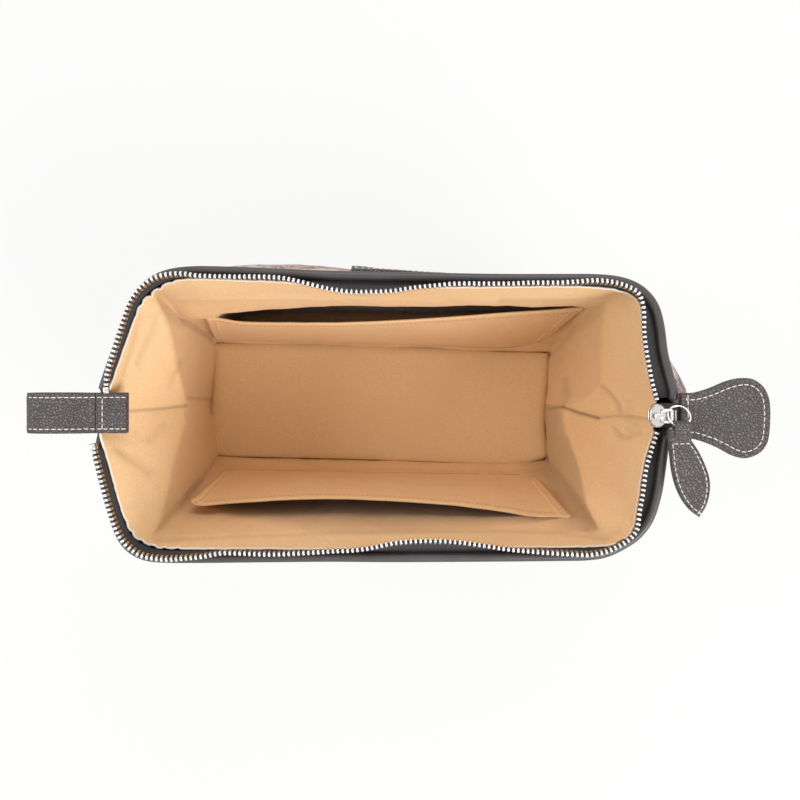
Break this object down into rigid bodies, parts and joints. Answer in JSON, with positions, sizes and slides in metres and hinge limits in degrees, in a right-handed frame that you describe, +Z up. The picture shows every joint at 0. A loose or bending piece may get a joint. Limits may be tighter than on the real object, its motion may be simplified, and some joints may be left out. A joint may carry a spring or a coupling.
{
  "type": "toiletry bag",
  "caption": "Framed wash bag, open: two wire-stiffened half rims that fold up to close, zip, slider with leaf pull, inner pockets, end tab and grab loop.",
  "frame": {"origin": "centre of the base's underside", "axes": "+X along the bag, from the grab loop's end to the tab's end; +Y towards the back; +Z up, out of the mouth"},
  "size_m": [0.3677, 0.1508, 0.1463],
  "materials": {
    "canvas": "woven",
    "lining": "satin",
    "leather": "pebbled",
    "rim_leather": "smooth",
    "tape": "matt",
    "piping": "matt",
    "zip_metal": "polished",
    "spring_steel": "drawn",
    "board": "matt"
  },
  "bodies": {
    "bag_body": {"base_panel": "canvas", "base_board": "board", "base_lining": "lining", "outer_front_lower": "canvas", "outer_back_lower": "canvas", "outer_right_lower": "canvas", "outer_left_lower": "canvas", "lining_front_lower": "lining", "lining_back_lower": "lining", "lining_right_lower": "lining", "lining_left_lower": "lining", "outer_front_upper": "canvas", "outer_back_upper": "canvas", "outer_right_upper": "canvas", "outer_left_upper": "canvas", "lining_front_upper": "lining", "lining_back_upper": "lining", "lining_right_upper": "lining", "lining_left_upper": "lining", "front_pocket": "lining", "back_pocket": "lining"},
    "mouth_ends": {"tape_tail": "tape", "chain_tail": "zip_metal", "loop_anchor": "leather"},
    "front_frame": {"front_rim": "rim_leather", "front_wire": "spring_steel", "front_piping": "piping", "front_tape": "tape", "front_teeth": "zip_metal", "front_end_stop": "zip_metal"},
    "back_frame": {"back_rim": "rim_leather", "back_wire": "spring_steel", "back_piping": "piping", "back_tape": "tape", "back_teeth": "zip_metal", "back_end_stop": "zip_metal"},
    "front_patch_body": {"front_patch": "leather"},
    "back_patch_body": {"back_patch": "leather"},
    "slider_body": {"zip_slider": "zip_metal"},
    "link_body": {"pull_link": "zip_metal"},
    "ring_body": {"pull_ring": "zip_metal"},
    "leaf_body": {"leaf_pull": "leather"},
    "end_tab": {"end_tab_under": "leather", "end_tab_core": "board", "end_tab_top": "leather"},
    "loop_body": {"grab_loop": "leather"}
  },
  "joints": [
    {"name": "mouth_drop", "type": "slide", "parent": "bag_body", "child": "mouth_ends", "axis": [0, 0, -1], "range_m": [0, 0.0534], "deforming": ["outer_front_upper", "outer_back_upper", "lining_front_upper", "lining_back_upper", "outer_left_upper", "outer_right_upper", "lining_left_upper", "lining_right_upper"]},
    {"name": "front_frame_fold", "type": "hinge", "parent": "mouth_ends", "child": "front_frame", "pos_m": [0, -0.0132, 0.132], "axis": [-1, 0, 0], "range_deg": [0, 90]},
    {"name": "back_frame_fold", "type": "hinge", "parent": "mouth_ends", "child": "back_frame", "pos_m": [0, 0.0132, 0.132], "axis": [1, 0, 0], "range_deg": [0, 90]},
    {"name": "front_patch_flex", "type": "hinge", "parent": "front_frame", "child": "front_patch_body", "pos_m": [0.006, -0.071, 0.132], "axis": [1, 0, 0], "range_deg": [0, 52]},
    {"name": "back_patch_flex", "type": "hinge", "parent": "back_frame", "child": "back_patch_body", "pos_m": [0.006, 0.071, 0.132], "axis": [-1, 0, 0], "range_deg": [0, 52]},
    {"name": "slider_run", "type": "slide", "parent": "mouth_ends", "child": "slider_body", "axis": [1, 0, 0], "range_m": [-0.006, 0]},
    {"name": "pull_link_lift", "type": "hinge", "parent": "slider_body", "child": "link_body", "pos_m": [0.1358, 0, 0.1409], "axis": [0, 1, 0], "range_deg": [-60, 0]},
    {"name": "ring_turn", "type": "hinge", "parent": "link_body", "child": "ring_body", "pos_m": [0.144, 0, 0.1409], "axis": [0, 0.4618, 0.887], "range_deg": [-6, 24]},
    {"name": "leaf_swing", "type": "hinge", "parent": "ring_body", "child": "leaf_body", "pos_m": [0.144, -0.0047, 0.14335], "axis": [-1, 0, 0], "range_deg": [0, 80]},
    {"name": "end_tab_flex", "type": "hinge", "parent": "mouth_ends", "child": "end_tab", "pos_m": [0.14515, 0, 0.1343], "axis": [0, 1, 0], "range_deg": [0, 50], "stiffness_Nm_per_rad": 0.02, "springref_deg": -4.01},
    {"name": "grab_loop_flex", "type": "hinge", "parent": "mouth_ends", "child": "loop_body", "pos_m": [-0.1455, 0, 0.1289], "axis": [0, -1, 0], "range_deg": [0, 50], "stiffness_Nm_per_rad": 0.02, "springref_deg": -4.01}
  ],
  "couplings": [
    {"joint": "front_frame_fold", "follows": "mouth_drop", "rad_per_m": 28.09},
    {"joint": "back_frame_fold", "follows": "mouth_drop", "rad_per_m": 28.09},
    {"joint": "front_patch_flex", "follows": "mouth_drop", "rad_per_m": 15.59},
    {"joint": "back_patch_flex", "follows": "mouth_drop", "rad_per_m": 15.59}
  ]
}
